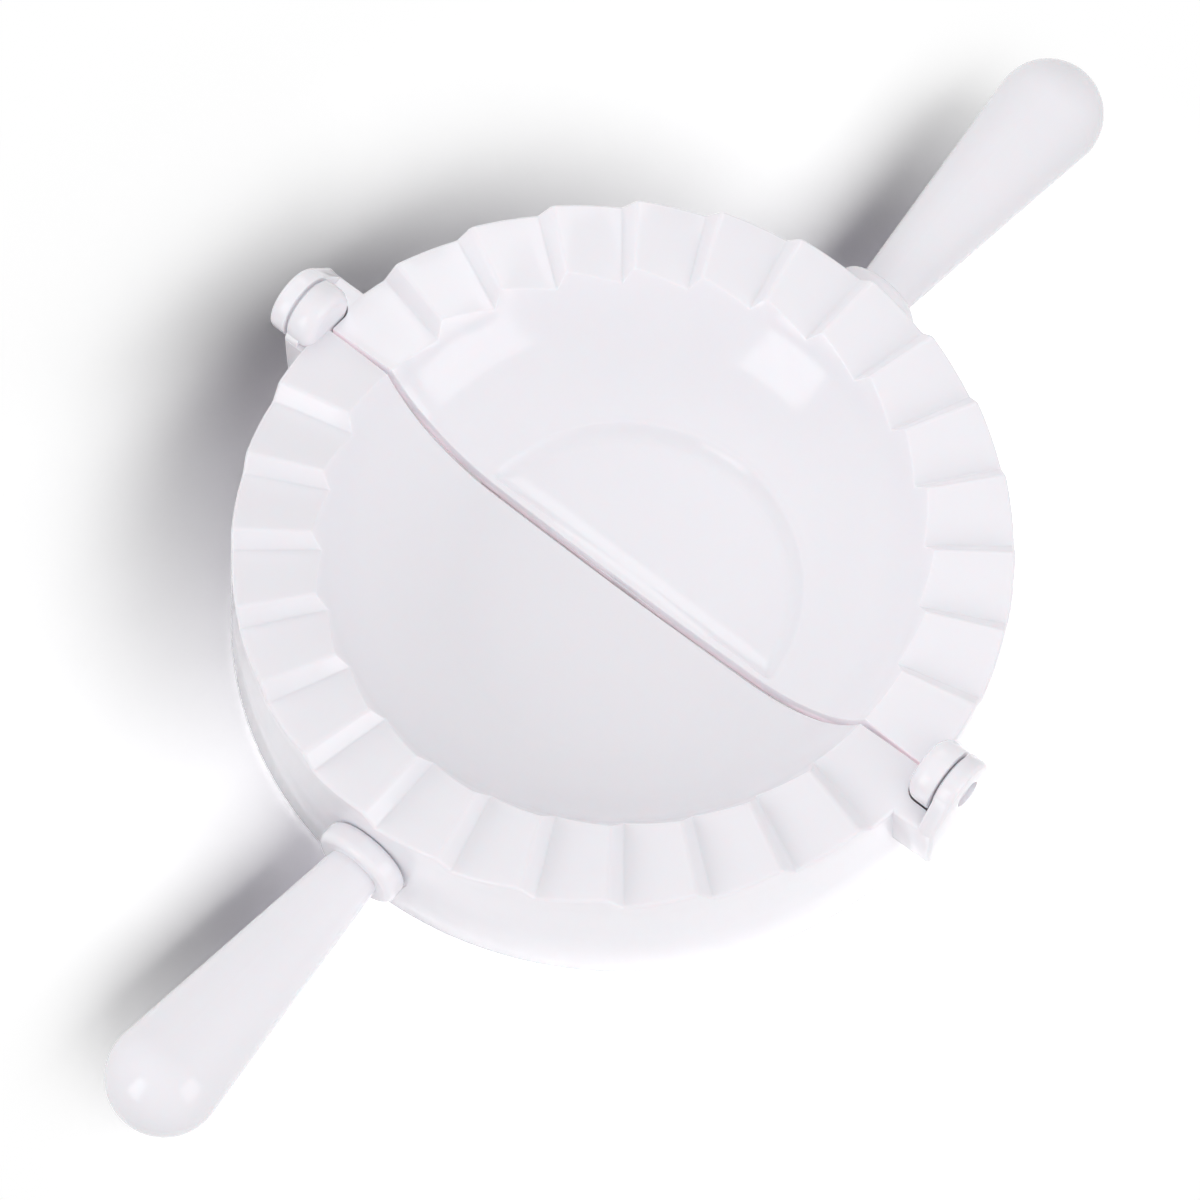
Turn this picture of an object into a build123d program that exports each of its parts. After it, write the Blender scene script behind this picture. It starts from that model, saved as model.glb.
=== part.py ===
from build123d import *
import os
from math import acos, asin, atan2, cos, degrees, hypot, radians, sin

# Millimetres. The floor is Z = 0 and the press lies open on it. The base jaw is on -X, the folding
# jaw on +X, and the hinge line runs along Y. The two jaws are half-turn twins about Z.

# Rim and its crimping teeth
rim_radius = 75.0
rim_mid_height = 29.0
tooth_height = 3.1
riser_count = 13
tooth_pitch_deg = 12.8
riser_width_deg = 2.3
rim_thickness = 2.4

# Bowl: a nearly flat floor that turns up into a steep wall
bowl_depth = 18.2
bowl_floor_radius = 600.0
bowl_floor_reach = 32.0
bowl_wall_radius = 31.4
bowl_wall_angle_deg = 58.5
bowl_thickness = 2.4

# Skirt: the half ring below the rim, which cuts the dough
skirt_base_radius = 76.5
skirt_thickness = 2.0
skirt_edge_land = 1.0
skirt_bevel_height = 2.2
seat_wall = 2.8
seat_half_width = 19.0
seat_play = 0.4

# Half-round pocket in the folding jaw's bowl, with a sloping wall round it and a pad below it
pocket_top_radius = 34.2
pocket_floor_radius = 30.0
pocket_top_side = 1.6
pocket_floor_side = 3.2
pocket_depth = 0.9
pocket_wall_height = 2.5
pocket_corner_radius = 2.0
pocket_pad_radius = 36.0
pocket_pad_side = 0.9
pocket_pad_height = 1.3

# Seam between the two jaws, wider between the two half bowls
seam_gap = 0.4
bowl_seam_gap = 1.4
bowl_seam_reach = 58.0
bowl_seam_taper = 9.0

# Hinge: an inner knuckle at one end of each jaw and an outer ear at the other
hinge_height = rim_mid_height + 1.8
hinge_wall_inner = 70.8
knuckle_radius = 6.7
knuckle_inner = 73.6
knuckle_outer = 79.1
knuckle_end_radius = 2.5
ear_radius = 6.8
ear_edge_radius = 0.8
ear_inner = 79.8
ear_outer = 83.5
ear_washer_radius = 4.4
ear_washer_inner = 79.4
ear_block_reach = 10.6
ear_block_top = rim_mid_height - 1.2
ear_block_seam_top = rim_mid_height - 0.1
block_foot = rim_mid_height - 14.0
block_corner_radius = 2.5
notch_inner = 73.2
notch_radius = 7.2
pin_radius = 2.8
pin_play = 0.05
pin_recess = 0.9
pin_seat_end = 74.6
pin_chamfer = 0.4

# Handles, one on each jaw: a flanged taper on a spigot that a screw pulls into the jaw's boss
handle_height = 14.5
collar_radius = 9.1
collar_start = 75.1
collar_end = 80.2
collar_edge_radius = 1.6
handle_root_radius = 5.6
handle_end_radius = 11.25
handle_tip = 145.4
spigot_radius = 4.0
spigot_end = 70.4
spigot_play = 0.05
boss_radius = 7.0
boss_end = 67.6

# Pan-head screw that holds the handle, driven from inside the skirt
screw_radius = 1.5
screw_pilot_radius = 1.4
screw_hole_radius = 1.75
screw_head_radius = 3.2
screw_head_height = 2.2
screw_head_edge_radius = 1.0
screw_tip = 84.0
screw_tip_chamfer = 0.8
screw_recess_length = 3.2
screw_recess_width = 0.8
screw_recess_depth = 1.2
pilot_end = 85.5

base_height = 0.0
crest_height = rim_mid_height + tooth_height / 2
valley_height = rim_mid_height - tooth_height / 2
rim_underside = valley_height - rim_thickness
bowl_bottom = rim_mid_height - bowl_depth
floor_arc_deg = degrees(asin(bowl_floor_reach / bowl_floor_radius))
tool_top = hinge_height + 30.0
tool_reach = rim_radius + 15.0

hinge_axis = Axis((0, 0, hinge_height), (0, 1, 0))
handle_axis = Axis((0, 0, handle_height), (1, 0, 0))
handle_plane = Plane(origin=(0, 0, handle_height), x_dir=(1, 0, 0), z_dir=(0, -1, 0))
screw_head_face = boss_end - screw_head_height

# The ear's flank runs from the outer corner of its block to where it touches the ear's round
block_drop = hinge_height - ear_block_top
flank_angle = acos(ear_radius / hypot(ear_block_reach, block_drop)) - atan2(block_drop, ear_block_reach)

# Radius, straight side and height of the pocket's outline at its floor and at its flared top
pocket_outlines = [
    (pocket_floor_radius, pocket_floor_side, bowl_bottom - pocket_depth),
    (pocket_top_radius, pocket_top_side, bowl_bottom - pocket_depth + pocket_wall_height),
]

# The handle's taper runs from its root at the collar to where it touches the round end
handle_end_centre = handle_tip - handle_end_radius
root_distance = hypot(handle_end_centre - collar_end, handle_root_radius)
handle_taper = asin(handle_end_radius / root_distance) - asin(handle_root_radius / root_distance)

# The bowl's underside runs parallel to its inside, up to the underside of the rim
under_wall_radius = bowl_wall_radius + bowl_thickness
wall_centre_height = bowl_bottom + bowl_floor_radius - (bowl_floor_radius - bowl_wall_radius) * cos(
    radians(floor_arc_deg)
)
under_wall_deg = degrees(acos((wall_centre_height - rim_underside) / under_wall_radius)) - floor_arc_deg


os.makedirs("parts", exist_ok=True)


def rim_height(angle_deg):
    """Height of the rim's surface at an angle measured clockwise from +Y, on a jaw that lies on +X.

    Each pad falls from its crest to the next valley, and the end pads are level with the middle at
    the seam, so that the surface is odd about the handle's axis and the folded jaws mesh."""
    first_riser = 90.0 - (riser_count - 1) / 2 * tooth_pitch_deg
    last_riser = 90.0 + (riser_count - 1) / 2 * tooth_pitch_deg
    half_riser = riser_width_deg / 2
    if angle_deg < first_riser - half_riser:
        return rim_mid_height - tooth_height / 2 * angle_deg / (first_riser - half_riser)
    if angle_deg > last_riser + half_riser:
        return rim_mid_height + tooth_height / 2 * (180.0 - angle_deg) / (180.0 - last_riser - half_riser)
    place = (angle_deg - first_riser + half_riser) % tooth_pitch_deg
    if place < riser_width_deg:
        return valley_height + tooth_height * place / riser_width_deg
    return crest_height - tooth_height * (place - riser_width_deg) / (tooth_pitch_deg - riser_width_deg)


def radial_plane(angle_deg):
    """Upright plane through the Z axis, with its X axis pointing outwards at a clockwise angle from +Y."""
    turn = radians(angle_deg)
    return Plane(origin=(0, 0, 0), x_dir=(sin(turn), cos(turn), 0), z_dir=(cos(turn), -sin(turn), 0))


def edge_angles():
    """Angles of every valley and crest line round a jaw's rim, from one end of the seam to the other."""
    first_riser = 90.0 - (riser_count - 1) / 2 * tooth_pitch_deg
    angles = [0.0]
    for riser in range(riser_count):
        middle = first_riser + riser * tooth_pitch_deg
        angles += [middle - riser_width_deg / 2, middle + riser_width_deg / 2]
    return angles + [180.0]


# Everything above the rim's toothed surface, as one ruled loft from line to line
with BuildPart() as crimp_tool:
    for tool_angle in edge_angles():
        with BuildSketch(radial_plane(tool_angle)):
            with BuildLine():
                Polyline(
                    (bowl_floor_reach, rim_height(tool_angle)),
                    (tool_reach, rim_height(tool_angle)),
                    (tool_reach, tool_top),
                    (bowl_floor_reach, tool_top),
                    close=True,
                )
            make_face()
    loft(ruled=True)

# Thickening of the skirt behind the handle's collar, with the boss that takes the handle's spigot
with BuildPart() as handle_seat:
    with BuildSketch(Plane.XZ):
        with BuildLine():
            Polyline(
                (0, base_height),
                (skirt_base_radius - skirt_edge_land / 2, base_height),
                (rim_radius - skirt_edge_land / 2, rim_underside),
                (0, rim_underside),
                close=True,
            )
        make_face()
    revolve(axis=Axis.Z)
    with Locations((collar_start - seat_wall / 2, 0, 0)):
        Box(seat_wall, 2 * seat_half_width, 2 * rim_underside, mode=Mode.INTERSECT)
    with BuildSketch(Plane.YZ.offset(boss_end)):
        with Locations((0, handle_height)):
            Circle(boss_radius)
    extrude(amount=collar_start - seat_wall / 2 - boss_end)

# Ear at the +Y end with the block that carries it, and knuckle at the -Y end on its web
with BuildPart() as hinge_ends:
    with BuildSketch(Plane.YZ) as ear_profile:
        with Locations((ear_inner, hinge_height)):
            Rectangle(ear_outer - ear_inner, ear_radius, align=(Align.MIN, Align.MIN))
        fillet(ear_profile.vertices().group_by(Axis.Y)[-1].sort_by(Axis.X)[-1], ear_edge_radius)
    revolve(axis=hinge_axis)
    with BuildSketch(Plane.XZ.offset(-ear_outer)) as ear_block:
        with BuildLine():
            Polyline(
                (seam_gap / 2, block_foot),
                (ear_block_reach, block_foot),
                (ear_block_reach, ear_block_top),
                (seam_gap / 2, ear_block_seam_top),
                close=True,
            )
        make_face()
        fillet(ear_block.vertices().group_by(Axis.Y)[0].sort_by(Axis.X)[-1], block_corner_radius)
    extrude(amount=ear_outer - hinge_wall_inner)
    with BuildSketch(Plane.XZ.offset(-ear_outer)):
        with BuildLine():
            Polyline(
                (0, hinge_height),
                (seam_gap / 2, ear_block_top),
                (ear_block_reach, ear_block_top),
                (ear_radius * cos(flank_angle), hinge_height + ear_radius * sin(flank_angle)),
                close=True,
            )
        make_face()
    extrude(amount=ear_outer - ear_inner)
    with BuildSketch(Plane.YZ) as knuckle_profile:
        with Locations((-knuckle_outer, hinge_height)):
            Rectangle(knuckle_outer - knuckle_inner, knuckle_radius, align=(Align.MIN, Align.MIN))
        fillet(knuckle_profile.vertices().group_by(Axis.Y)[-1].sort_by(Axis.X)[-1], knuckle_end_radius)
    revolve(axis=hinge_axis)
    with BuildSketch(Plane.XZ.offset(hinge_wall_inner)) as knuckle_web:
        with Locations((seam_gap / 2, block_foot)):
            Rectangle(knuckle_radius - seam_gap / 2, rim_underside - block_foot, align=(Align.MIN, Align.MIN))
        fillet(knuckle_web.vertices().group_by(Axis.Y)[0].sort_by(Axis.X)[-1], block_corner_radius)
    extrude(amount=knuckle_outer - hinge_wall_inner)
    with BuildSketch(Plane.XZ.offset(knuckle_inner + knuckle_end_radius)):
        with Locations((seam_gap / 2, rim_underside)):
            Rectangle(knuckle_radius - seam_gap / 2, hinge_height - rim_underside, align=(Align.MIN, Align.MIN))
    extrude(amount=knuckle_outer - knuckle_inner - knuckle_end_radius)

# What both jaws share, made as the jaw on +X
with BuildPart() as jaw_blank:
    with BuildSketch(Plane.XZ):
        with BuildLine():
            floor_arc = JernArc((0, bowl_bottom), (1, 0), bowl_floor_radius, floor_arc_deg)
            wall_arc = JernArc(
                floor_arc @ 1, floor_arc % 1, bowl_wall_radius, bowl_wall_angle_deg - floor_arc_deg
            )
            mouth = Line(wall_arc @ 1, wall_arc @ 1 + (wall_arc % 1) * 2 * tooth_height)
            Polyline(
                mouth @ 1,
                (rim_radius, (mouth @ 1).Y),
                (rim_radius, rim_underside),
                (skirt_base_radius, base_height),
                (0, base_height),
                (0, bowl_bottom),
            )
        make_face()
        with BuildLine():
            under_floor = JernArc(
                (0, bowl_bottom - bowl_thickness), (1, 0), bowl_floor_radius + bowl_thickness, floor_arc_deg
            )
            under_wall = JernArc(
                under_floor @ 1, under_floor % 1, bowl_wall_radius + bowl_thickness, under_wall_deg
            )
            Polyline(
                under_wall @ 1,
                (rim_radius - skirt_thickness, rim_underside),
                (skirt_base_radius - skirt_thickness, skirt_bevel_height),
                (skirt_base_radius - skirt_edge_land, base_height),
                (0, base_height),
                (0, bowl_bottom - bowl_thickness),
            )
        make_face(mode=Mode.SUBTRACT)
    revolve(axis=Axis.Z)
    add(handle_seat.part)
    add(crimp_tool.part, mode=Mode.SUBTRACT)
    split(bisect_by=Plane.YZ.offset(seam_gap / 2), keep=Keep.TOP)
    add(hinge_ends.part)

    # Room for the other jaw's knuckle, and the bores for the two hinge pins
    with BuildSketch(Plane.XZ.offset(-ear_inner)):
        with Locations((0, hinge_height)):
            Circle(notch_radius)
    extrude(amount=ear_inner - notch_inner, mode=Mode.SUBTRACT)
    with BuildSketch(Plane.XZ.offset(-ear_inner)):
        with Locations((0, hinge_height)):
            Circle(ear_washer_radius)
    extrude(amount=ear_inner - ear_washer_inner)
    with BuildSketch(Plane.XZ.offset(-ear_outer)):
        with Locations((0, hinge_height)):
            Circle(pin_radius + pin_play)
    extrude(amount=ear_outer - ear_washer_inner, mode=Mode.SUBTRACT)
    with BuildSketch(Plane.XZ.offset(pin_seat_end)):
        with Locations((0, hinge_height)):
            Circle(pin_radius)
    extrude(amount=knuckle_outer - pin_seat_end, mode=Mode.SUBTRACT)

    # The bowl's edge stands back from the seam
    with BuildSketch(Plane.XY):
        with BuildLine():
            Polyline(
                (0, bowl_seam_reach),
                (seam_gap / 2, bowl_seam_reach),
                (bowl_seam_gap / 2, bowl_seam_reach - bowl_seam_taper),
                (bowl_seam_gap / 2, bowl_seam_taper - bowl_seam_reach),
                (seam_gap / 2, -bowl_seam_reach),
                (0, -bowl_seam_reach),
                close=True,
            )
        make_face()
    extrude(amount=tool_top, mode=Mode.SUBTRACT)

    # Round flat that the handle's collar stands on, bore for its spigot, and the screw's hole
    with BuildSketch(Plane.YZ.offset(collar_start)):
        with Locations((0, handle_height)):
            Circle(collar_radius + seat_play)
    extrude(amount=skirt_base_radius - collar_start, mode=Mode.SUBTRACT)
    with BuildSketch(Plane.YZ.offset(spigot_end)):
        with Locations((0, handle_height)):
            Circle(spigot_radius + spigot_play)
    extrude(amount=collar_start - spigot_end, mode=Mode.SUBTRACT)
    with BuildSketch(Plane.YZ.offset(boss_end)):
        with Locations((0, handle_height)):
            Circle(screw_hole_radius)
    extrude(amount=spigot_end - boss_end, mode=Mode.SUBTRACT)

# Flared half disc that sinks the pocket into the bowl
with BuildPart() as pocket_tool:
    for outline_radius, outline_side, outline_height in pocket_outlines:
        with BuildSketch(Plane.XY.offset(outline_height)) as pocket_outline:
            Circle(outline_radius)
            with Locations((outline_side, 0)):
                Rectangle(
                    outline_radius, 2 * outline_radius, align=(Align.MIN, Align.CENTER), mode=Mode.INTERSECT
                )
            fillet(pocket_outline.vertices(), pocket_corner_radius)
    loft(ruled=True)

# Jaw on +X, which folds over the other; its bowl has the half-round pocket
with BuildPart() as folding_jaw:
    add(jaw_blank.part)
    with BuildSketch(Plane.XY.offset(bowl_bottom - bowl_thickness - pocket_pad_height)):
        Circle(pocket_pad_radius)
        with Locations((pocket_pad_side, 0)):
            Rectangle(
                pocket_pad_radius, 2 * pocket_pad_radius, align=(Align.MIN, Align.CENTER), mode=Mode.INTERSECT
            )
    extrude(amount=bowl_thickness / 2 + pocket_pad_height)
    add(pocket_tool.part, mode=Mode.SUBTRACT)
    folding_jaw.part.label = "folding_jaw"
export_step(folding_jaw.part, "parts/folding_jaw.step")

# Jaw on -X, which stays on the table
with BuildPart() as base_jaw:
    add(jaw_blank.part.rotate(Axis.Z, 180))
    base_jaw.part.label = "base_jaw"
export_step(base_jaw.part, "parts/base_jaw.step")

# Handle of the folding jaw, in one piece with its collar and its spigot
with BuildPart() as folding_handle:
    with BuildSketch(handle_plane):
        with BuildLine():
            taper = Line(
                (collar_end, handle_root_radius),
                (
                    handle_end_centre - handle_end_radius * sin(handle_taper),
                    handle_end_radius * cos(handle_taper),
                ),
            )
            round_end = TangentArc(taper @ 1, (handle_tip, 0), tangent=taper % 1)
            Polyline(
                round_end @ 1,
                (spigot_end, 0),
                (spigot_end, spigot_radius),
                (collar_start, spigot_radius),
                (collar_start, handle_root_radius),
                taper @ 0,
            )
        make_face()
    revolve(axis=handle_axis)
    with BuildSketch(handle_plane) as collar_profile:
        with Locations((collar_start, 0)):
            Rectangle(collar_end - collar_start, collar_radius, align=(Align.MIN, Align.MIN))
        fillet(collar_profile.vertices().group_by(Axis.Y)[-1], collar_edge_radius)
    revolve(axis=handle_axis)
    with BuildSketch(Plane.YZ.offset(spigot_end)):
        with Locations((0, handle_height)):
            Circle(screw_pilot_radius)
    extrude(amount=pilot_end - spigot_end, mode=Mode.SUBTRACT)
    folding_handle.part.label = "folding_handle"
export_step(folding_handle.part, "parts/folding_handle.step")

# Handle of the base jaw
with BuildPart() as base_handle:
    add(folding_handle.part.rotate(Axis.Z, 180))
    base_handle.part.label = "base_handle"
export_step(base_handle.part, "parts/base_handle.step")

# Screw of the folding jaw's handle, with a cross recess in its head
with BuildPart() as folding_handle_screw:
    with BuildSketch(handle_plane) as head_profile:
        with Locations((screw_head_face, 0)):
            Rectangle(screw_head_height, screw_head_radius, align=(Align.MIN, Align.MIN))
        fillet(head_profile.vertices().group_by(Axis.Y)[-1].sort_by(Axis.X)[0], screw_head_edge_radius)
    revolve(axis=handle_axis)
    with BuildSketch(handle_plane) as shank_profile:
        with Locations((boss_end, 0)):
            Rectangle(screw_tip - boss_end, screw_radius, align=(Align.MIN, Align.MIN))
        chamfer(shank_profile.vertices().group_by(Axis.Y)[-1].sort_by(Axis.X)[-1], screw_tip_chamfer)
    revolve(axis=handle_axis)
    with BuildSketch(Plane.YZ.offset(screw_head_face)):
        with Locations((0, handle_height)):
            Rectangle(screw_recess_length, screw_recess_width)
            Rectangle(screw_recess_width, screw_recess_length)
    extrude(amount=screw_recess_depth, mode=Mode.SUBTRACT)
    folding_handle_screw.part.label = "folding_handle_screw"
export_step(folding_handle_screw.part, "parts/folding_handle_screw.step")

# Screw of the base jaw's handle
with BuildPart() as base_handle_screw:
    add(folding_handle_screw.part.rotate(Axis.Z, 180))
    base_handle_screw.part.label = "base_handle_screw"
export_step(base_handle_screw.part, "parts/base_handle_screw.step")

# Hinge pin at the -Y end, tight in the folding jaw's knuckle and free in the base jaw's ear
with BuildPart() as folding_hinge_pin:
    with BuildSketch(Plane.XZ.offset(pin_seat_end)):
        with Locations((0, hinge_height)):
            Circle(pin_radius)
    extrude(amount=ear_outer - pin_recess - pin_seat_end)
    chamfer(folding_hinge_pin.edges().filter_by(GeomType.CIRCLE), pin_chamfer)
    folding_hinge_pin.part.label = "folding_hinge_pin"
export_step(folding_hinge_pin.part, "parts/folding_hinge_pin.step")

# Hinge pin at the +Y end, tight in the base jaw's knuckle and free in the folding jaw's ear
with BuildPart() as base_hinge_pin:
    add(folding_hinge_pin.part.rotate(Axis.Z, 180))
    base_hinge_pin.part.label = "base_hinge_pin"
export_step(base_hinge_pin.part, "parts/base_hinge_pin.step")
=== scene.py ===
from bisect import bisect_left
from math import acos, asin, atan2, cos, degrees, hypot, pi, radians, sin, tan

import bmesh
import bpy
from mathutils import Matrix, Vector


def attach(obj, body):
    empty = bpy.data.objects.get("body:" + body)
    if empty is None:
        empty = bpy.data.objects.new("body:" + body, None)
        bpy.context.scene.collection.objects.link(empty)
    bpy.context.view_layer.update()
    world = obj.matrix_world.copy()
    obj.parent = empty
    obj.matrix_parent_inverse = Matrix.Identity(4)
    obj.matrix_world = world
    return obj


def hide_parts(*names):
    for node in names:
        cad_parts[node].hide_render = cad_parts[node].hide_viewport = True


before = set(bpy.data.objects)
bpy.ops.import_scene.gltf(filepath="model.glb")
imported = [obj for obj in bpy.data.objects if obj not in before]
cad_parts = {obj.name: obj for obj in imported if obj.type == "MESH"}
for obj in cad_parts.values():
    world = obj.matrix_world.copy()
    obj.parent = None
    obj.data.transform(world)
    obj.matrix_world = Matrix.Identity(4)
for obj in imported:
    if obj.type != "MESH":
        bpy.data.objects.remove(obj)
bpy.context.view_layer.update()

# ---------------------------------------------------------------------------------------------
# Jaw shell. Each jaw is one injection moulding in glossy white plastic: half a bowl, the toothed
# half rim round it and the skirt below. It is drawn as a section in millimetres and spun through
# half a turn, column by column, so that every tooth has its own rounded crest and valley.
# ---------------------------------------------------------------------------------------------
MM = 0.001

rim_radius = 75.0
rim_middle = 29.0
rim_under = 25.05
rim_pitch_radius = 66.0
rim_trough = 63.0
rim_land = 69.0
tooth_height = 3.1
riser_count = 13
tooth_pitch = 12.8
riser_width = 2.3
crest_round = 1.2
valley_round = 0.5
mouth_round = 0.5
rim_edge_round = 0.7
column_spacing = 2.4

wall_centre = (30.33, 43.01)
wall_radius = 31.4
wall_end = 58.5
bowl_thickness = 2.4
bowl_bottom = 10.8
floor_radius = 600.0
floor_reach = 32.0
patch_radius = 36.0
middle_hole = 3.0
seam_half = 0.2
seam_round = 0.4
ring_tolerance = 0.02
plane_tolerance = 0.01


def arc(centre, radius, start, end, steps):
    """Points of an arc in the section, by their angle from straight down."""
    turns = [radians(start + (end - start) * step / steps) for step in range(steps + 1)]
    return [(centre[0] + radius * sin(turn), centre[1] - radius * cos(turn)) for turn in turns]


def wall_angle(reach, radius):
    """Angle on the bowl's wall arc where it is this far from the middle of the bowl."""
    return degrees(asin((reach - wall_centre[0]) / radius))


inside_wall = arc(wall_centre, wall_radius, wall_angle(patch_radius, wall_radius), wall_end, 16)
rim_inner = inside_wall[-1][0] + (rim_middle - inside_wall[-1][1]) / tan(radians(wall_end))
mouth_centre = (rim_inner + mouth_round * tan(radians(wall_end / 2)), rim_middle - mouth_round)
mouth = arc(mouth_centre, mouth_round, 180 + wall_end, 180, 4)
rim_edge = arc((rim_radius - rim_edge_round, rim_middle - rim_edge_round), rim_edge_round, 180, 90, 4)
skirt = [(rim_radius, rim_under), (75.6, 15.0), (76.48, 0.4), (76.37, 0.11), (76.1, 0.0)]
skirt += [(75.5, 0.0), (74.5, 2.2)]
under_rim = [(73.0, rim_under), (59.0, rim_under)]
outer_radius = wall_radius + bowl_thickness
underside = arc(wall_centre, outer_radius, 57.9, wall_angle(patch_radius, outer_radius), 12)
under_floor = [(24.0, 8.88), (12.0, 8.52), (middle_hole, 8.4)]
section = inside_wall + mouth + [(rim_trough, rim_middle), (rim_land, rim_middle)] + rim_edge
section += skirt + under_rim + underside[1:] + under_floor

mm_per_degree = radians(rim_pitch_radius)


def tooth_corner(angle, height, slope_in, slope_out, radius, steps):
    """Columns of one rounded crest or valley, as (angle in degrees, height above the middle)."""
    turn = slope_out - slope_in
    side = 1 if turn > 0 else -1
    reach = radius * tan(radians(abs(turn) / 2))
    level, rise = cos(radians(slope_in)), sin(radians(slope_in))
    along = angle * mm_per_degree - reach * level - side * radius * rise
    up = height - reach * rise + side * radius * level
    slopes = [radians(slope_in + turn * step / steps) for step in range(steps + 1)]
    return [
        ((along + side * radius * sin(slope)) / mm_per_degree, up - side * radius * cos(slope))
        for slope in slopes
    ]


first_riser = 90.0 - (riser_count - 1) / 2 * tooth_pitch
end_pad_slope = -degrees(atan2(tooth_height / 2, (first_riser - riser_width / 2) * mm_per_degree))
pad_slope = -degrees(atan2(tooth_height, (tooth_pitch - riser_width) * mm_per_degree))
riser_slope = degrees(atan2(tooth_height, riser_width * mm_per_degree))
corners = [(0.0, 0.0)]
for riser in range(riser_count):
    middle = first_riser + riser * tooth_pitch
    before = end_pad_slope if riser == 0 else pad_slope
    after = end_pad_slope if riser == riser_count - 1 else pad_slope
    valley_angle, crest_angle = middle - riser_width / 2, middle + riser_width / 2
    corners += tooth_corner(valley_angle, -tooth_height / 2, before, riser_slope, valley_round, 3)
    corners += tooth_corner(crest_angle, tooth_height / 2, riser_slope, after, crest_round, 5)
corners.append((180.0, 0.0))
columns = [corners[0]]
for (start, low), (end, high) in zip(corners, corners[1:]):
    steps = max(1, round((end - start) / column_spacing))
    for step in range(1, steps + 1):
        share = step / steps
        columns.append((start + (end - start) * share, low + (high - low) * share))


def pick(piece, kind, test):
    """Selects the vertices, edges or faces of a piece in edit mode that pass a test."""
    bpy.ops.mesh.select_mode(type=kind)
    bpy.ops.mesh.select_all(action="DESELECT")
    mesh = bmesh.from_edit_mesh(piece.data)
    elements = {"VERT": mesh.verts, "EDGE": mesh.edges, "FACE": mesh.faces}[kind]
    for element in elements:
        if test(element):
            element.select_set(True)
    mesh.select_flush_mode()
    bmesh.update_edit_mesh(piece.data)


def reach_of(vertex):
    """Distance of a vertex from the middle of the bowl, in millimetres."""
    return hypot(vertex.co.x, vertex.co.y) / MM


bpy.ops.object.select_all(action="DESELECT")
bpy.ops.mesh.primitive_plane_add(size=2 * MM)
jaw = bpy.context.object
jaw.name = "jaw_blank"
bpy.ops.object.mode_set(mode="EDIT")
pick(jaw, "VERT", lambda vertex: vertex.index > 0)
bpy.ops.mesh.delete(type="VERT")
bpy.ops.mesh.select_all(action="SELECT")
corner = bmesh.from_edit_mesh(jaw.data).verts[:][0].co
first_reach, first_height = section[0]
to_first = (-corner.x, first_reach * MM - corner.y, first_height * MM - corner.z)
bpy.ops.transform.translate(value=to_first)
for (reach, height), (next_reach, next_height) in zip(section, section[1:]):
    step = (0, (next_reach - reach) * MM, (next_height - height) * MM)
    bpy.ops.mesh.extrude_region_move(TRANSFORM_OT_translate={"value": step})
bpy.ops.mesh.select_all(action="SELECT")
for (angle, height), (next_angle, next_height) in zip(columns, columns[1:]):
    bpy.ops.mesh.spin(steps=1, angle=radians(next_angle - angle), center=(0, 0, 0), axis=(0, 0, 1))
bpy.ops.object.mode_set(mode="OBJECT")

# The teeth are formed in the rim: each column of the rim moves to its tooth's height, and the
# mouth of the bowl slides along its own slope.
column_angles = [angle for angle, height in columns]


def tooth_lift(angle):
    """Height of the rim above its middle at an angle from +Y."""
    place = min(max(bisect_left(column_angles, angle), 1), len(columns) - 1)
    (start, low), (end, high) = columns[place - 1], columns[place]
    return low + (high - low) * (angle - start) / (end - start)


rim_floor = rim_middle - 0.8
mouth_reach = 60.0
for vertex in jaw.data.vertices:
    reach = reach_of(vertex)
    if vertex.co.z > rim_floor * MM and reach > rim_inner - 1.0:
        lift = tooth_lift(degrees(atan2(abs(vertex.co.x), vertex.co.y)))
        if reach < mouth_reach:
            slide = 1 + lift / tan(radians(wall_end)) / reach
            vertex.co.x *= slide
            vertex.co.y *= slide
        vertex.co.z += lift * MM

# The half ring is cut along the seam, and the floor of the bowl is filled with a fine even grid.
bpy.ops.object.mode_set(mode="EDIT")
bpy.ops.mesh.select_all(action="SELECT")
bpy.ops.mesh.bisect(plane_co=(seam_half * MM, 0, 0), plane_no=(1, 0, 0), clear_inner=True)


def on_patch_ring(vertex):
    """True for a vertex on the ring where the bowl's floor patch meets its wall."""
    return abs(reach_of(vertex) - patch_radius) < ring_tolerance and vertex.co.z > bowl_bottom * MM


def on_patch_edge(edge):
    """True for an edge of the hole in the bowl's floor."""
    return not edge.link_faces or (edge.is_boundary and all(on_patch_ring(v) for v in edge.verts))


def on_middle_hole(edge):
    """True for an edge of the small hole in the middle of the bowl's underside."""
    return edge.is_boundary and all(reach_of(v) < middle_hole + 0.1 for v in edge.verts)


def at_seam(vertex):
    """True for a vertex in the plane of the cut."""
    return abs(vertex.co.x / MM - seam_half) < plane_tolerance


ring_cells = len(columns) - 1
patch_cells = 80 + ring_cells % 2
pick(jaw, "VERT", lambda vertex: on_patch_ring(vertex) and at_seam(vertex))
bpy.ops.mesh.edge_face_add()
pick(jaw, "EDGE", lambda edge: not edge.link_faces)
bpy.ops.mesh.subdivide(number_cuts=patch_cells - 1)
pick(jaw, "EDGE", on_patch_edge)
shell = bmesh.from_edit_mesh(jaw.data)
patch_corner = [v for v in shell.verts if on_patch_ring(v) and at_seam(v) and v.co.y > 0][0]
shell.select_history.clear()
shell.select_history.add(patch_corner)
bpy.ops.mesh.fill_grid(span=patch_cells, offset=(ring_cells - patch_cells) // 2)
bpy.ops.mesh.select_mode(type="FACE")
bpy.ops.mesh.subdivide(number_cuts=1)
pick(jaw, "EDGE", on_middle_hole)
bpy.ops.mesh.edge_face_add()
bpy.ops.mesh.select_all(action="SELECT")
bpy.ops.mesh.normals_make_consistent(inside=False)
bpy.ops.object.mode_set(mode="OBJECT")


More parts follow.
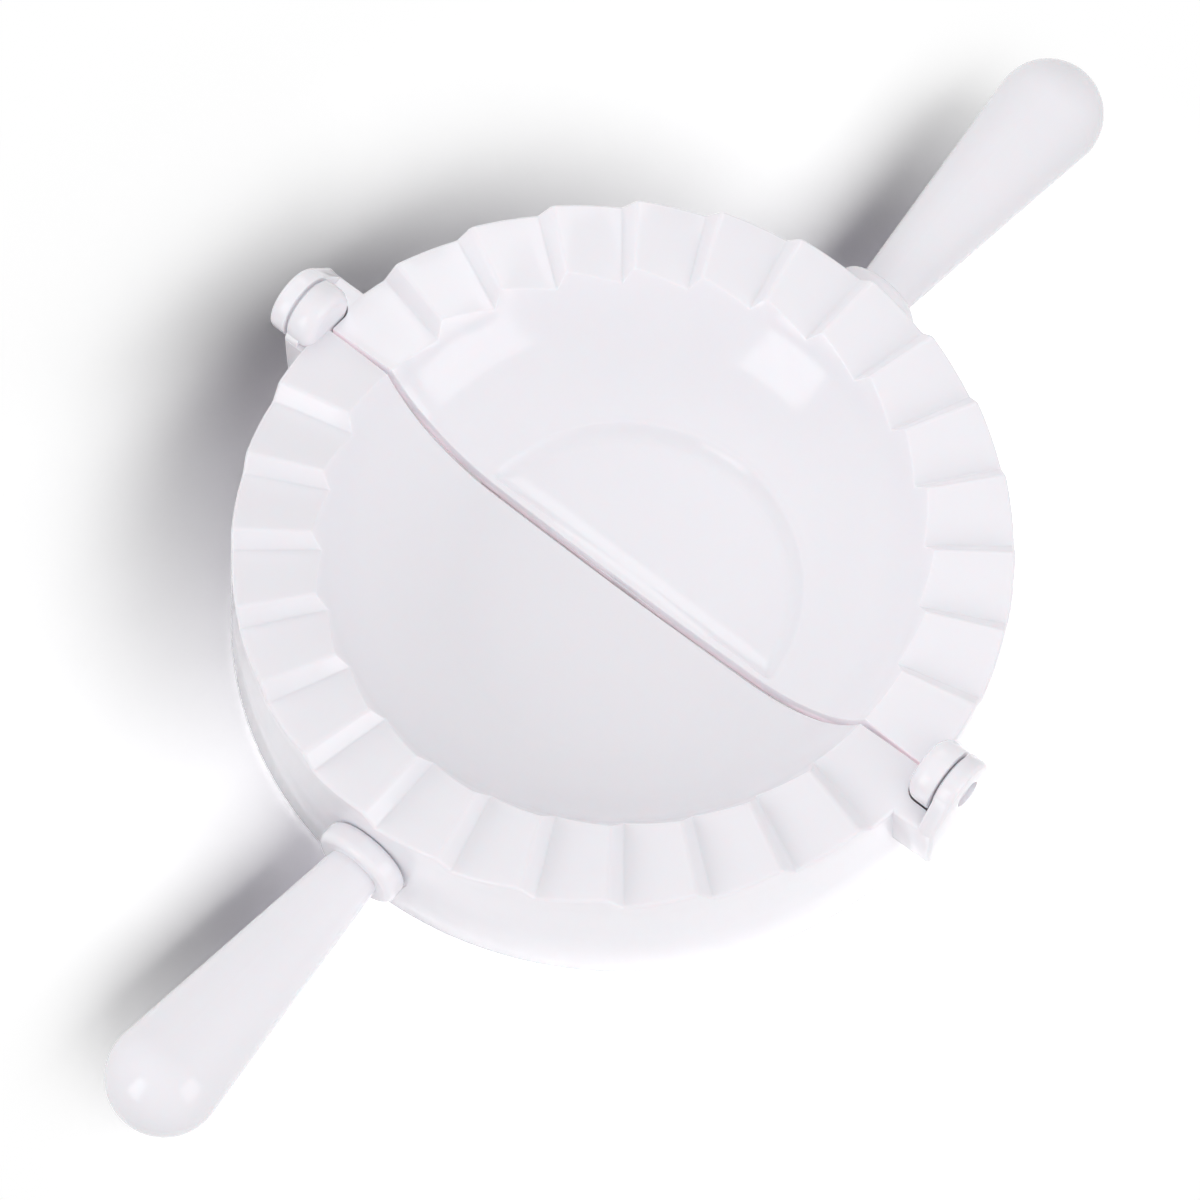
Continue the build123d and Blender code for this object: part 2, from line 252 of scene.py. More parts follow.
def bowl_height(reach):
    """Height of the bowl's inside, from its nearly flat floor to its wall."""
    if reach < floor_reach:
        return bowl_bottom + reach**2 / (2 * floor_radius)
    return wall_centre[1] - (wall_radius**2 - (reach - wall_centre[0]) ** 2) ** 0.5


for vertex in jaw.data.vertices:
    reach = reach_of(vertex)
    if reach < patch_radius - 0.05 and vertex.co.z > (bowl_bottom - 0.3) * MM:
        vertex.co.z = bowl_height(reach) * MM

# The seam has soft lips: the last rows before it roll over towards the inside of the wall. It is
# a hairline at the rim and opens to a narrow slot between the two bowls.
slot_reach = 68.0
slot_taper = 19.0
slot_back = 0.5
slot_blend = 6.0
lip_turns = (30.0, 60.0, 90.0)

bpy.ops.object.mode_set(mode="EDIT")
for turn in lip_turns:
    row = seam_half + seam_round * (1 - cos(radians(turn)))
    bpy.ops.mesh.select_all(action="SELECT")
    bpy.ops.mesh.bisect(plane_co=(row * MM, 0, 0), plane_no=(1, 0, 0))
bpy.ops.object.mode_set(mode="OBJECT")
inward = [-normal.vector for normal in jaw.data.vertex_normals]
for vertex, direction in zip(jaw.data.vertices, inward):
    from_row = seam_half + seam_round - vertex.co.x / MM
    if from_row > 0.001:
        sunk = seam_round - (max(0, seam_round**2 - from_row**2)) ** 0.5
        across_wall = Vector((0, direction.y, direction.z)).normalized()
        vertex.co += across_wall * sunk * MM
for vertex in jaw.data.vertices:
    along, across = abs(vertex.co.y) / MM, vertex.co.x / MM
    if along < slot_reach and across < slot_blend:
        inside = vertex.co.z / MM > bowl_height(min(along, rim_inner - 1)) - bowl_thickness / 2
        if inside:
            back = slot_back * min(1, (slot_reach - along) / slot_taper)
            vertex.co.x += back * (1 - max(0, across - seam_half) / slot_blend) * MM
bpy.ops.object.mode_set(mode="EDIT")
pick(jaw, "EDGE", lambda edge: edge.is_boundary)
bpy.ops.mesh.edge_face_add()
bpy.ops.mesh.select_all(action="SELECT")
bpy.ops.mesh.normals_make_consistent(inside=False)
bpy.ops.object.mode_set(mode="OBJECT")


# ---------------------------------------------------------------------------------------------
# Hinge ends of the jaw: at +Y an ear on its bracket, at -Y a knuckle on its web, moulded in one
# with the skirt. The knuckle of the other jaw turns in a notch beside the ear.
# ---------------------------------------------------------------------------------------------
hinge_height = 30.8
ear_radius = 6.8
ear_inner = 79.8
ear_outer = 83.5
ear_outer_round = 0.9
ear_inner_round = 0.3
knuckle_radius = 6.7
knuckle_outer = -79.1
knuckle_inner = -73.6
knuckle_inner_round = 2.5
knuckle_outer_round = 0.35
seam_clearance = 0.25
block_reach = 10.6
block_inner = 70.8
block_foot = 15.0
block_middle = 20.0
block_top = 27.92
block_seam_top = 28.95
block_dip_start = 73.6
block_dip = 1.4
block_foot_round = 2.2
block_edge_round = 0.8
web_reach = 7.4
web_outer = -79.05
web_inner = -70.8
web_top = 28.7
web_foot_round = 2.5
web_side_round = 0.35
raised_web_low = (0.3, -79.0, block_middle)
raised_web_high = (7.3, -76.1, hinge_height)
raised_web_round = 1.5
washer_radius = 5.6
washer_inner = 79.4
washer_outer = 80.5
notch_radius = 7.05
notch_inner = 73.25
notch_inner_round = 2.8
ear_bore_radius = 2.85
pin_bore_radius = 2.8
near_edge = 0.1


def rod(name, radius, start, end, axis, height, sides=64):
    """A round bar along X or Y, from start to end, at a height above the table."""
    middle = (start + end) / 2 * MM
    place = (0, middle, height * MM) if axis == "Y" else (middle, 0, height * MM)
    turn = (pi / 2, 0, 0) if axis == "Y" else (0, pi / 2, 0)
    bpy.ops.object.select_all(action="DESELECT")
    bpy.ops.mesh.primitive_cylinder_add(
        vertices=sides, radius=radius * MM, depth=abs(end - start) * MM, location=place, rotation=turn
    )
    bar = bpy.context.object
    bar.name = name
    bpy.ops.object.transform_apply(location=True, rotation=True, scale=True)
    return bar


def brick(name, low, high):
    """A block between two corners."""
    bpy.ops.object.select_all(action="DESELECT")
    bpy.ops.mesh.primitive_cube_add(size=1, location=[(a + b) / 2 * MM for a, b in zip(low, high)])
    block = bpy.context.object
    block.name = name
    block.scale = [(b - a) * MM for a, b in zip(low, high)]
    bpy.ops.object.transform_apply(location=True, rotation=True, scale=True)
    return block


def round_edges(piece, width, segments, test):
    """Rounds the edges of a piece that pass a test."""
    bpy.ops.object.select_all(action="DESELECT")
    piece.select_set(True)
    bpy.context.view_layer.objects.active = piece
    bpy.ops.object.mode_set(mode="EDIT")
    pick(piece, "EDGE", test)
    bpy.ops.mesh.bevel(offset=width * MM, segments=segments, profile=0.5, clamp_overlap=True)
    bpy.ops.object.mode_set(mode="OBJECT")


def join_solid(piece, other, operation):
    """Adds another solid to a piece, or cuts it away, and removes the other solid."""
    bpy.ops.object.select_all(action="DESELECT")
    piece.select_set(True)
    bpy.context.view_layer.objects.active = piece
    step = piece.modifiers.new("join", "BOOLEAN")
    step.operation = operation
    step.solver = "EXACT"
    step.object = other
    bpy.ops.object.modifier_apply(modifier=step.name)
    bpy.data.objects.remove(other)


def edge_middle(edge):
    """Middle of an edge, in millimetres."""
    return (edge.verts[0].co + edge.verts[1].co) / (2 * MM)


def is_ring(edge, along):
    """True for an edge of a round end at this place along Y."""
    return all(abs(v.co.y / MM - along) < plane_tolerance for v in edge.verts)


def is_sharp(edge, least):
    """True for an edge that turns outwards by more than this many radians."""
    return edge.calc_face_angle_signed(0) > least


ear = rod("ear", ear_radius, ear_inner, ear_outer, "Y", hinge_height)
round_edges(ear, ear_outer_round, 4, lambda edge: is_ring(edge, ear_outer))
round_edges(ear, ear_inner_round, 2, lambda edge: is_ring(edge, ear_inner))

# The bracket rises from the skirt. Beside the notch its top is nearly level, and under the ear its
# flank runs up to touch the ear's round side.
block_drop = hinge_height - block_top
flank_angle = acos(ear_radius / hypot(block_reach, block_drop)) - atan2(block_drop, block_reach)
flank_end = ear_radius * cos(flank_angle)
flank_top = hinge_height + ear_radius * sin(flank_angle)
bracket = brick("bracket", (seam_clearance, block_inner, block_foot), (block_reach, ear_outer, block_top))
bpy.ops.object.mode_set(mode="EDIT")
bpy.ops.mesh.select_all(action="SELECT")
bpy.ops.mesh.bisect(plane_co=(0, ear_inner * MM, 0), plane_no=(0, 1, 0))
bpy.ops.mesh.select_all(action="SELECT")
bpy.ops.mesh.bisect(plane_co=(0, block_dip_start * MM, 0), plane_no=(0, 1, 0))
pick(bracket, "VERT", lambda v: v.co.x < MM and v.co.z > block_middle * MM)
bpy.ops.transform.translate(value=(0, 0, (block_seam_top - block_top) * MM))
pick(bracket, "VERT", lambda v: v.co.y < (block_inner + near_edge) * MM and v.co.z > block_middle * MM)
bpy.ops.transform.translate(value=(0, 0, -block_dip * MM))
pick(bracket, "FACE", lambda face: face.normal.z > 0.9 and face.calc_center_median().y > ear_inner * MM)
bpy.ops.mesh.extrude_region_move(TRANSFORM_OT_translate={"value": (0, 0, (flank_top - block_top) * MM)})
pick(bracket, "VERT", lambda v: v.co.x > flank_end * MM and v.co.z > (block_seam_top + near_edge) * MM)
bpy.ops.transform.translate(value=((flank_end - block_reach) * MM, 0, 0))
bpy.ops.object.mode_set(mode="OBJECT")


def on_block_foot(edge):
    """True for the bracket's lower edges away from the seam and the skirt."""
    middle = edge_middle(edge)
    clear = middle.x > 1 and middle.y > block_inner + near_edge
    return clear and is_sharp(edge, 1) and middle.z < block_foot + near_edge


def on_block_end(edge):
    """True for the bracket's sharp edges beyond the skirt, away from the seam."""
    middle = edge_middle(edge)
    return middle.x > 1 and middle.y > block_dip_start + 0.4 and is_sharp(edge, 0.7)


def on_web_foot(edge):
    """True for the web's lower edge on its far side from the seam."""
    middle = edge_middle(edge)
    return middle.x > web_reach - near_edge and middle.z < block_foot + near_edge


def on_web_side(edge):
    """True for the web's other sharp edges, below its top."""
    return edge.calc_face_angle(0) > radians(40) and edge_middle(edge).z < web_top - near_edge


def on_raised_web_top(edge):
    """True for the raised web's upper edge on its far side from the seam."""
    middle = edge_middle(edge)
    return middle.x > raised_web_high[0] - near_edge and middle.z > hinge_height - near_edge


round_edges(bracket, block_foot_round, 5, on_block_foot)
round_edges(bracket, block_edge_round, 4, on_block_end)
knuckle = rod("knuckle", knuckle_radius, knuckle_outer, knuckle_inner, "Y", hinge_height)
round_edges(knuckle, knuckle_inner_round, 6, lambda edge: is_ring(edge, knuckle_inner))
round_edges(knuckle, knuckle_outer_round, 2, lambda edge: is_ring(edge, knuckle_outer))
web = brick("web", (seam_clearance, web_outer, block_foot), (web_reach, web_inner, web_top))
round_edges(web, web_foot_round, 5, on_web_foot)
round_edges(web, web_side_round, 2, on_web_side)
raised_web = brick("raised_web", raised_web_low, raised_web_high)
round_edges(raised_web, raised_web_round, 4, on_raised_web_top)
washer = rod("washer", washer_radius, washer_inner, washer_outer, "Y", hinge_height)
notch = rod("notch", notch_radius, notch_inner, ear_inner, "Y", hinge_height)
round_edges(notch, notch_inner_round, 6, lambda edge: is_ring(edge, notch_inner))
washer_room = rod("washer_room", washer_radius, washer_inner, washer_outer, "Y", hinge_height)
join_solid(notch, washer_room, "DIFFERENCE")
join_solid(bracket, ear, "UNION")
join_solid(bracket, washer, "UNION")
join_solid(web, raised_web, "UNION")
join_solid(web, knuckle, "UNION")

# ---------------------------------------------------------------------------------------------
# Seat for the handle: the skirt has a round flat where the collar stands, is thickened behind it,
# and has a boss with a stepped bore for the handle's spigot and screw.
# ---------------------------------------------------------------------------------------------
handle_height = 14.5
collar_seat = 75.1
collar_flat_radius = 9.2
seat_inner = 72.3
seat_outer = 73.9
seat_foot = 1.0
seat_top = 25.3
seat_foot_width = 14.0
seat_top_width = 10.0
boss_radius = 7.0
boss_inner = 67.6
boss_outer = 73.0
spigot_radius = 4.05
spigot_end = 70.4
screw_radius = 1.75

seat = brick("seat", (seat_inner, -seat_foot_width, seat_foot), (seat_outer, seat_foot_width, seat_top))
for vertex in seat.data.vertices:
    if vertex.co.z > handle_height * MM:
        vertex.co.y *= seat_top_width / seat_foot_width
join_solid(seat, rod("boss", boss_radius, boss_inner, boss_outer, "X", handle_height, sides=48), "UNION")
for addition in (bracket, web, seat):
    join_solid(jaw, addition, "UNION")
cutters = [
    notch,
    rod("ear_bore", ear_bore_radius, 79.0, 84.0, "Y", hinge_height),
    rod("knuckle_bore", pin_bore_radius, -80.0, -74.6, "Y", hinge_height),
    rod("collar_flat", collar_flat_radius, collar_seat, 78.0, "X", handle_height),
    rod("spigot_bore", spigot_radius, spigot_end, 76.0, "X", handle_height, sides=48),
    rod("screw_bore", screw_radius, 66.0, spigot_end + 0.01, "X", handle_height, sides=24),
]
for cutter in cutters:
    join_solid(jaw, cutter, "DIFFERENCE")

# ---------------------------------------------------------------------------------------------
# Glossy white plastic of the jaws and handles, faintly cool, with the soft unevenness of a
# moulded surface. Its cut faces at the seam carry faint painted light. The pins are the same
# plastic.
# ---------------------------------------------------------------------------------------------
white_colour = (0.845, 0.83, 0.87)
white_roughness = 0.1
swirl_scale = 22.0
swirl_dip = 0.985
grain_scale = 160.0
grain_depth = 0.0004
light_spread = (1.0, 0.5, 0.45)
light_spread_depth = 0.0015
# Colour and limits of the painted light on the seam's cut faces.
painted_seam_light = (0.135, 0.09, 0.095, 1)
painted_seam_light_from = 0.0005
painted_seam_light_full = 0.00028
seam_facing_from = 0.4
seam_facing_full = 0.9


def size_of_x(nodes, links, vector, none_at, full_at):
    """The size of a vector's X as a share from 0 to 1 between two values."""
    axes = nodes.new("ShaderNodeSeparateXYZ")
    links.new(vector, axes.inputs[0])
    size = nodes.new("ShaderNodeMath")
    size.operation = "ABSOLUTE"
    links.new(axes.outputs["X"], size.inputs[0])
    share = nodes.new("ShaderNodeMapRange")
    share.inputs["From Min"].default_value = none_at
    share.inputs["From Max"].default_value = full_at
    links.new(size.outputs[0], share.inputs["Value"])
    return share.outputs["Result"]


def moulded_plastic(name, colour, roughness):
    """A glossy moulded plastic with slight swirls. Its cut faces at the seam get a faint pinkish
    emission: painted light that stands in for light coming through thin plastic."""
    material = bpy.data.materials.new(name)
    material.use_nodes = True
    nodes, links = material.node_tree.nodes, material.node_tree.links
    nodes.clear()
    output = nodes.new("ShaderNodeOutputMaterial")
    plastic = nodes.new("ShaderNodeBsdfPrincipled")
    links.new(plastic.outputs["BSDF"], output.inputs["Surface"])
    place = nodes.new("ShaderNodeTexCoord")
    cloud = nodes.new("ShaderNodeTexNoise")
    cloud.inputs["Scale"].default_value = swirl_scale
    cloud.inputs["Detail"].default_value = 2.0
    links.new(place.outputs["Object"], cloud.inputs["Vector"])
    tint = nodes.new("ShaderNodeMix")
    tint.data_type = "RGBA"
    tint.inputs[6].default_value = (*[channel * swirl_dip for channel in colour], 1)
    tint.inputs[7].default_value = (*colour, 1)
    links.new(cloud.outputs["Fac"], tint.inputs[0])
    links.new(tint.outputs[2], plastic.inputs["Base Color"])
    gloss = nodes.new("ShaderNodeMapRange")
    gloss.inputs["To Min"].default_value = roughness - 0.02
    gloss.inputs["To Max"].default_value = roughness + 0.03
    links.new(cloud.outputs["Fac"], gloss.inputs["Value"])
    links.new(gloss.outputs["Result"], plastic.inputs["Roughness"])
    grain = nodes.new("ShaderNodeTexNoise")
    grain.inputs["Scale"].default_value = grain_scale
    grain.inputs["Detail"].default_value = 2.0
    links.new(place.outputs["Object"], grain.inputs["Vector"])
    bump = nodes.new("ShaderNodeBump")
    bump.inputs["Strength"].default_value = 0.04
    bump.inputs["Distance"].default_value = grain_depth
    links.new(grain.outputs["Fac"], bump.inputs["Height"])
    links.new(bump.outputs["Normal"], plastic.inputs["Normal"])
    plastic.inputs["IOR"].default_value = 1.5
    plastic.inputs["Subsurface Weight"].default_value = 0.35
    plastic.inputs["Subsurface Radius"].default_value = light_spread
    plastic.inputs["Subsurface Scale"].default_value = light_spread_depth
    # Painted light: a faint pinkish emission on faces that look along X near the seam, standing in for
    # light seen through the thin plastic in the slot.
    facing = nodes.new("ShaderNodeNewGeometry")
    by_seam = size_of_x(nodes, links, place.outputs["Object"], painted_seam_light_from, painted_seam_light_full)
    on_cut = size_of_x(nodes, links, facing.outputs["Normal"], seam_facing_from, seam_facing_full)
    painted_seam_share = nodes.new("ShaderNodeMath")
    painted_seam_share.operation = "MULTIPLY"
    links.new(by_seam, painted_seam_share.inputs[0])
    links.new(on_cut, painted_seam_share.inputs[1])
    links.new(painted_seam_share.outputs[0], plastic.inputs["Emission Strength"])
    plastic.inputs["Emission Color"].default_value = painted_seam_light
    return material


white_plastic = moulded_plastic("white_plastic", white_colour, white_roughness)


def finish_piece(piece, material, body, slot, *nodes):
    """Gives a piece its material and its place on a body, and hides the solids that it stands for."""
    piece.data.materials.clear()
    piece.data.materials.append(material)
    bpy.ops.object.select_all(action="DESELECT")
    piece.select_set(True)
    bpy.context.view_layer.objects.active = piece
    bpy.ops.object.shade_smooth_by_angle(angle=radians(32))
    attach(piece, body)
    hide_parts(*nodes)


# ---------------------------------------------------------------------------------------------
# The two jaws. The base jaw is the twin of the folding jaw, turned half a turn about the middle of
# the press. The folding jaw's bowl has a shallow half-round pocket with a soft edge.
# ---------------------------------------------------------------------------------------------
base_jaw = jaw.copy()
base_jaw.data = jaw.data.copy()
base_jaw.name = "base_jaw_moulding"
bpy.context.collection.objects.link(base_jaw)
base_jaw.data.transform(Matrix.Rotation(pi, 4, "Z"))

pocket_floor = 9.9
pocket_flat_radius = 31.0
pocket_flat_side = 8.0
pocket_round_radius = 4.0
pocket_side_radius = 18.0
pocket_edge_side = 2.9
pocket_edge_slope = 1.0


def soft_max(first, second, blend):
    """The larger of two values, with the corner between them rounded."""
    overlap = max(blend - abs(first - second), 0) / blend
    return max(first, second) + overlap**2 * blend / 4


def pocket_height(across, reach):
    """Height of the bowl's inside where the pocket is sunk into it."""
    round_side = max(0, reach - pocket_flat_radius) ** 2 / (2 * pocket_round_radius)
    straight_side = max(0, pocket_flat_side - across) ** 2 / (2 * pocket_side_radius)
    straight_side += soft_max(0, (pocket_edge_side - across) * pocket_edge_slope, 0.3)
    wall = pocket_floor + soft_max(round_side, straight_side, 0.4)
    return -soft_max(-bowl_height(reach), -wall, 0.25)


folding_jaw = jaw
folding_jaw.name = "folding_jaw_moulding"
for vertex in folding_jaw.data.vertices:
    reach = reach_of(vertex)
    if reach < patch_radius and vertex.co.z > (pocket_floor + 0.5) * MM:
        sunk_height = pocket_height(vertex.co.x / MM, reach)
        if sunk_height < bowl_height(reach) - 0.001:
            vertex.co.z = sunk_height * MM

# Below the pocket the bowl is thickened by a flat half-round pad.
pad_low = 7.1
pad_high = 9.75
pad_clearance = 0.3
pad_edge_round = 0.6
bpy.ops.object.select_all(action="DESELECT")
bpy.ops.mesh.primitive_cylinder_add(
    vertices=128,
    radius=patch_radius * MM,
    depth=(pad_high - pad_low) * MM,
    location=(0, 0, (pad_low + pad_high) / 2 * MM),
)
pad = bpy.context.object
pad.name = "pocket_pad"
bpy.ops.object.transform_apply(location=True, rotation=True, scale=True)
bpy.ops.object.mode_set(mode="EDIT")
bpy.ops.mesh.select_all(action="SELECT")
pad_cut = (pad_clearance * MM, 0, 0)
bpy.ops.mesh.bisect(plane_co=pad_cut, plane_no=(1, 0, 0), clear_inner=True, use_fill=True)
bpy.ops.object.mode_set(mode="OBJECT")


def on_pad_face(edge):
    """True for an edge of the pad's lower face."""
    return all(abs(v.co.z / MM - pad_low) < plane_tolerance for v in edge.verts)


round_edges(pad, pad_edge_round, 3, on_pad_face)
join_solid(folding_jaw, pad, "UNION")

finish_piece(folding_jaw, white_plastic, "folding", "jaw_plastic", "folding_jaw")
finish_piece(base_jaw, white_plastic, "base", "jaw_plastic", "base_jaw")

# ---------------------------------------------------------------------------------------------
# Handles: solid tapered grips, each in one piece with its collar, of the same white plastic. The
# two hinge pins, which are pressed into the knuckles, are moulded from it as well.
# ---------------------------------------------------------------------------------------------
for node in ("folding_handle", "base_handle", "folding_hinge_pin", "base_hinge_pin"):
    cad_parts[node].data.materials.clear()
    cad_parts[node].data.materials.append(white_plastic)

# ---------------------------------------------------------------------------------------------
# Screws: zinc-plated steel with a faint spangle. They are driven from inside the skirt into the
# handles' roots, and are seen only from below.
# ---------------------------------------------------------------------------------------------
zinc_dark = (0.56, 0.57, 0.60, 1)
zinc_light = (0.68, 0.68, 0.69, 1)
spangle_scale = 900.0
zinc_smoothest = 0.22
zinc_roughest = 0.42

steel = bpy.data.materials.new("zinc_plated_steel")
steel.use_nodes = True
nodes, links = steel.node_tree.nodes, steel.node_tree.links
steel_shader = nodes["Principled BSDF"]
steel_shader.inputs["Metallic"].default_value = 1.0
place = nodes.new("ShaderNodeTexCoord")
spangle = nodes.new("ShaderNodeTexVoronoi")
spangle.inputs["Scale"].default_value = spangle_scale
links.new(place.outputs["Object"], spangle.inputs["Vector"])
zinc = nodes.new("ShaderNodeMix")
zinc.data_type = "RGBA"
zinc.inputs[6].default_value = zinc_dark
zinc.inputs[7].default_value = zinc_light
links.new(spangle.outputs["Distance"], zinc.inputs[0])
links.new(zinc.outputs[2], steel_shader.inputs["Base Color"])
polish = nodes.new("ShaderNodeMapRange")
polish.inputs["To Min"].default_value = zinc_smoothest
polish.inputs["To Max"].default_value = zinc_roughest
links.new(spangle.outputs["Distance"], polish.inputs["Value"])
links.new(polish.outputs["Result"], steel_shader.inputs["Roughness"])
for node in ("folding_handle_screw", "base_handle_screw"):
    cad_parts[node].data.materials.clear()
    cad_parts[node].data.materials.append(steel)

# ---------------------------------------------------------------------------------------------
# White paper table. It takes the press's soft shadow from its own lamp. An emission paints light
# on the paper under the press, seen through the slots, and a negative emission paints a deeper
# shadow round it; further out it runs into plain white. From below it is clear, so that the
# underside of the press can be seen.
# ---------------------------------------------------------------------------------------------
table_size = 12.0
paper_colour = (0.8, 0.8, 0.8, 1)
paper_seen = (2.6, 2.6, 2.6, 1)
# Emission strengths of the painted light under the press and the painted shadow round it.
press_edge_from = 0.070
press_edge_to = 0.078
painted_light_under_press = 0.4
painted_shadow_round_press = -0.5
fade_from = 0.09
fade_to = 0.165


def seen_rays(nodes, links):
    """1 for what is seen straight, in a mirror or through glass, and 0 for light that bounces."""
    seen = nodes.new("ShaderNodeLightPath")
    seen_or_mirrored = nodes.new("ShaderNodeMath")
    seen_or_mirrored.operation = "MAXIMUM"
    links.new(seen.outputs["Is Camera Ray"], seen_or_mirrored.inputs[0])
    links.new(seen.outputs["Is Glossy Ray"], seen_or_mirrored.inputs[1])
    seen_any_way = nodes.new("ShaderNodeMath")
    seen_any_way.operation = "MAXIMUM"
    links.new(seen_or_mirrored.outputs[0], seen_any_way.inputs[0])
    links.new(seen.outputs["Is Transmission Ray"], seen_any_way.inputs[1])
    return seen_any_way.outputs[0]


bpy.ops.object.select_all(action="DESELECT")
bpy.ops.mesh.primitive_plane_add(size=table_size)
table = bpy.context.object
table.name = "table"
paper = bpy.data.materials.new("white_paper")
paper.use_nodes = True
nodes, links = paper.node_tree.nodes, paper.node_tree.links
nodes.clear()
output = nodes.new("ShaderNodeOutputMaterial")
seen = seen_rays(nodes, links)
shade = nodes.new("ShaderNodeMix")
shade.data_type = "RGBA"
shade.inputs[6].default_value = paper_colour
shade.inputs[7].default_value = paper_seen
links.new(seen, shade.inputs[0])
near_paper = nodes.new("ShaderNodeBsdfDiffuse")
links.new(shade.outputs[2], near_paper.inputs["Color"])
place = nodes.new("ShaderNodeTexCoord")
distance = nodes.new("ShaderNodeVectorMath")
distance.operation = "LENGTH"
links.new(place.outputs["Object"], distance.inputs[0])
# Painted light and shade: a faint emission under the press and a negative one round its edge.
under_press = nodes.new("ShaderNodeMapRange")
under_press.inputs["From Min"].default_value = press_edge_from
under_press.inputs["From Max"].default_value = press_edge_to
under_press.inputs["To Min"].default_value = painted_light_under_press
under_press.inputs["To Max"].default_value = painted_shadow_round_press
links.new(distance.outputs["Value"], under_press.inputs["Value"])
painted_press_level = nodes.new("ShaderNodeMath")
painted_press_level.operation = "MULTIPLY"
links.new(under_press.outputs["Result"], painted_press_level.inputs[0])
links.new(seen, painted_press_level.inputs[1])
painted_press_light_and_shadow = nodes.new("ShaderNodeEmission")
links.new(painted_press_level.outputs[0], painted_press_light_and_shadow.inputs["Strength"])
shaded_paper = nodes.new("ShaderNodeAddShader")
links.new(near_paper.outputs["BSDF"], shaded_paper.inputs[0])
links.new(painted_press_light_and_shadow.outputs["Emission"], shaded_paper.inputs[1])
far_paper = nodes.new("ShaderNodeEmission")
fade = nodes.new("ShaderNodeMapRange")
fade.interpolation_type = "SMOOTHSTEP"
fade.inputs["From Min"].default_value = fade_from
fade.inputs["From Max"].default_value = fade_to
links.new(distance.outputs["Value"], fade.inputs["Value"])
far_share = nodes.new("ShaderNodeMath")
far_share.operation = "MULTIPLY"
links.new(fade.outputs["Result"], far_share.inputs[0])
links.new(seen, far_share.inputs[1])
blend = nodes.new("ShaderNodeMixShader")
links.new(far_share.outputs[0], blend.inputs["Fac"])
links.new(shaded_paper.outputs["Shader"], blend.inputs[1])
links.new(far_paper.outputs["Emission"], blend.inputs[2])
from_below = nodes.new("ShaderNodeNewGeometry")
clear = nodes.new("ShaderNodeBsdfTransparent")
one_sided = nodes.new("ShaderNodeMixShader")
links.new(from_below.outputs["Backfacing"], one_sided.inputs["Fac"])
links.new(blend.outputs["Shader"], one_sided.inputs[1])
links.new(clear.outputs["BSDF"], one_sided.inputs[2])
links.new(one_sided.outputs["Shader"], output.inputs["Surface"])
table.data.materials.append(paper)

# ---------------------------------------------------------------------------------------------
# Studio light: one wide box for the table alone. For the press, a large overhead box that leans
# towards -Y, boxes that mirror in the bowls, low fills at the left and the front, the glow of a
# white tent, and a white surround.
# ---------------------------------------------------------------------------------------------
aim_height = 0.02
tent_energy = 0.82
surround_light = 0.2
surround_seen = 1.0


def softbox(name, azimuth, elevation, distance, size, radiance, receivers, mirrored=True):
    """A softbox that faces the middle of the press; a radiance of 1 is white."""
    lamp = bpy.data.lights.new(name, "AREA")
    lamp.shape = "RECTANGLE"
    lamp.size, lamp.size_y = size
    lamp.energy = radiance * pi * size[0] * size[1]
    holder = bpy.data.objects.new(name, lamp)
    bpy.context.collection.objects.link(holder)
    turn, rise = radians(azimuth), radians(elevation)
    towards = Vector((cos(rise) * cos(turn), cos(rise) * sin(turn), sin(rise)))
    holder.location = towards * distance + Vector((0, 0, aim_height))
    holder.rotation_euler = towards.to_track_quat("Z", "Y").to_euler()
    holder.visible_glossy = mirrored
    holder.light_linking.receiver_collection = receivers


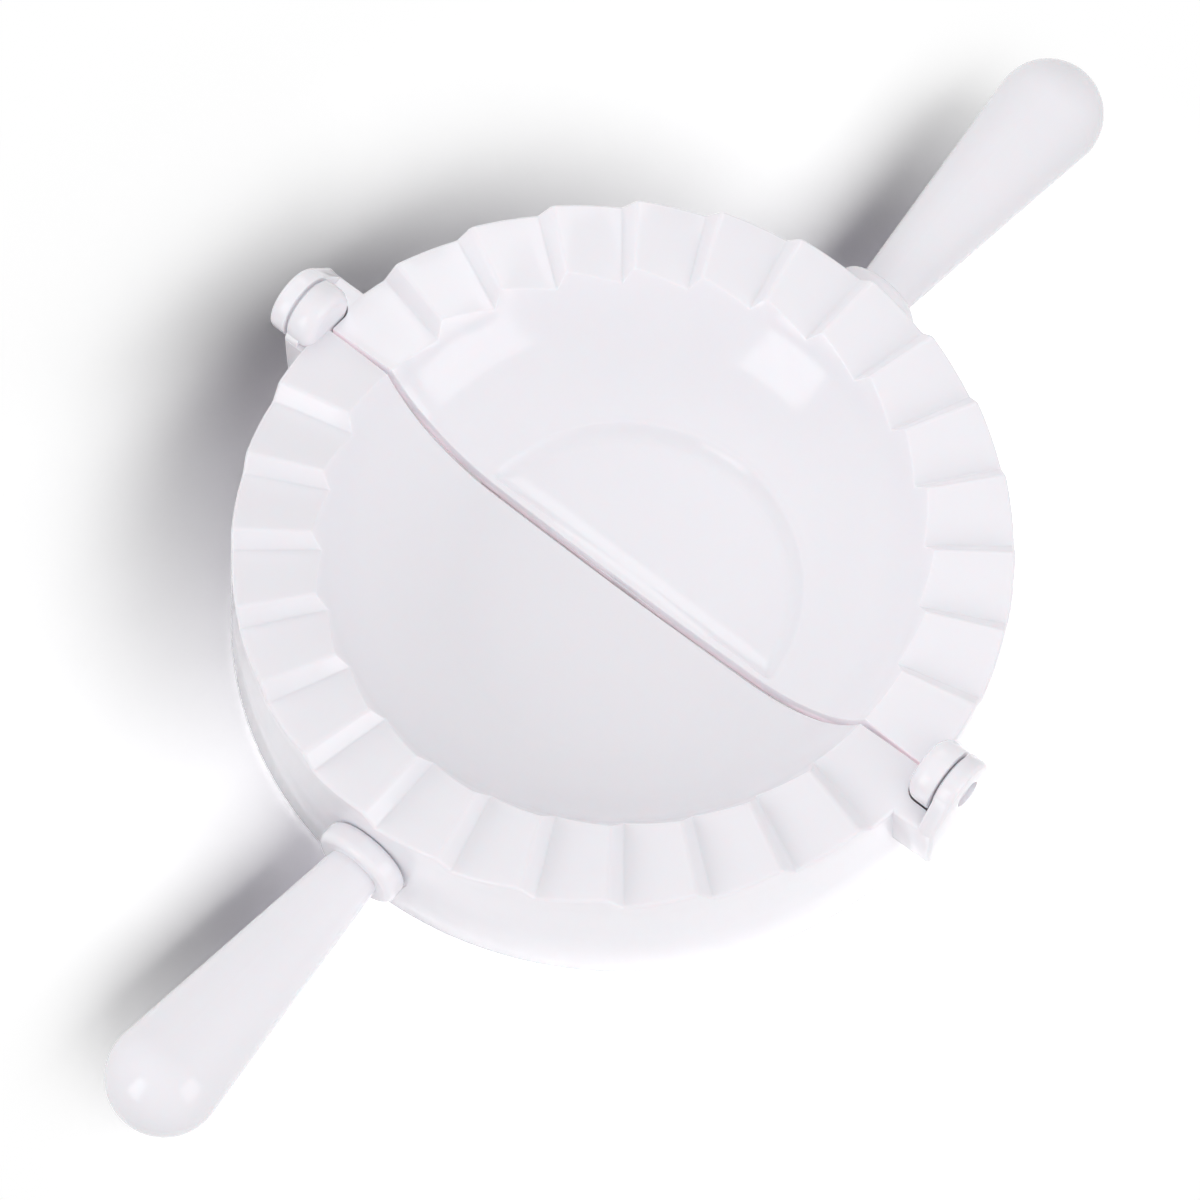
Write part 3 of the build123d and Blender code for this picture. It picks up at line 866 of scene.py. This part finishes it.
only_table = bpy.data.collections.new("only_table")
only_table.objects.link(table)
only_folding_jaw = bpy.data.collections.new("only_folding_jaw")
only_folding_jaw.objects.link(folding_jaw)
all_but_table = bpy.data.collections.new("all_but_table")
all_but_table.objects.link(table)
all_but_table.collection_objects[0].light_linking.link_state = "EXCLUDE"
softbox("table_box", -94, 44, 1.3, (2.3, 0.6), 3.6, only_table, mirrored=False)
softbox("overhead_box", -92, 62, 1.3, (1.3, 1.3), 1.0, all_but_table, mirrored=False)
softbox("right_box", -92, 17, 1.2, (0.69, 0.76), 1.65, all_but_table)
softbox("left_box", 165.5, 22, 1.2, (0.45, 0.80), 2.0, all_but_table)
softbox("back_box", 28, 50, 1.3, (0.8, 0.8), 1.5, all_but_table, mirrored=False)
softbox("pocket_box", 28, 47, 1.3, (0.55, 0.45), 1.5, only_folding_jaw)
softbox("left_fill", 115, 16, 1.3, (1.1, 0.7), 2.0, all_but_table, mirrored=False)
softbox("front_fill", -140, 12, 1.3, (1.2, 0.7), 0.9, all_but_table, mirrored=False)
tent = bpy.data.lights.new("tent", "SUN")
tent.angle = pi
tent.energy = tent_energy
tent_holder = bpy.data.objects.new("tent", tent)
bpy.context.collection.objects.link(tent_holder)
tent_holder.visible_glossy = False
tent_holder.light_linking.receiver_collection = all_but_table

world = bpy.data.worlds.new("studio")
bpy.context.scene.world = world
world.use_nodes = True
nodes, links = world.node_tree.nodes, world.node_tree.links
surround = nodes["Background"]
surround.inputs["Color"].default_value = (1, 1, 1, 1)
level = nodes.new("ShaderNodeMapRange")
level.inputs["To Min"].default_value = surround_light
level.inputs["To Max"].default_value = surround_seen
links.new(seen_rays(nodes, links), level.inputs["Value"])
links.new(level.outputs["Result"], surround.inputs["Strength"])

# ---------------------------------------------------------------------------------------------
# Camera, high over the base jaw's side. It looks at a point on the level of the rims, a little
# off the middle of the press.
# ---------------------------------------------------------------------------------------------
elevation = radians(64.08)
heading = radians(-50.48)
aim_right = -0.00439
aim_up = -0.01064
aim_level = 0.029
back = Vector((sin(heading) * cos(elevation), -cos(heading) * cos(elevation), sin(elevation)))
right = Vector((cos(heading), sin(heading), 0))
upward = back.cross(right)
camera_distance = 1.198
image_side = 1200
pixels_per_mm = 5.23
sensor = 36.0
camera_data = bpy.data.cameras.new("camera")
camera = bpy.data.objects.new("camera", camera_data)
bpy.context.collection.objects.link(camera)
aim = right * aim_right + upward * aim_up
camera.location = aim + back * camera_distance + Vector((0, 0, aim_level))
camera.rotation_euler = Matrix((right, upward, back)).transposed().to_euler()
camera_data.sensor_width = sensor
camera_data.lens = sensor * pixels_per_mm * camera_distance / MM / image_side
camera_data.clip_end = 20.0
bpy.context.scene.camera = camera
bpy.context.scene.view_settings.view_transform = "Standard"
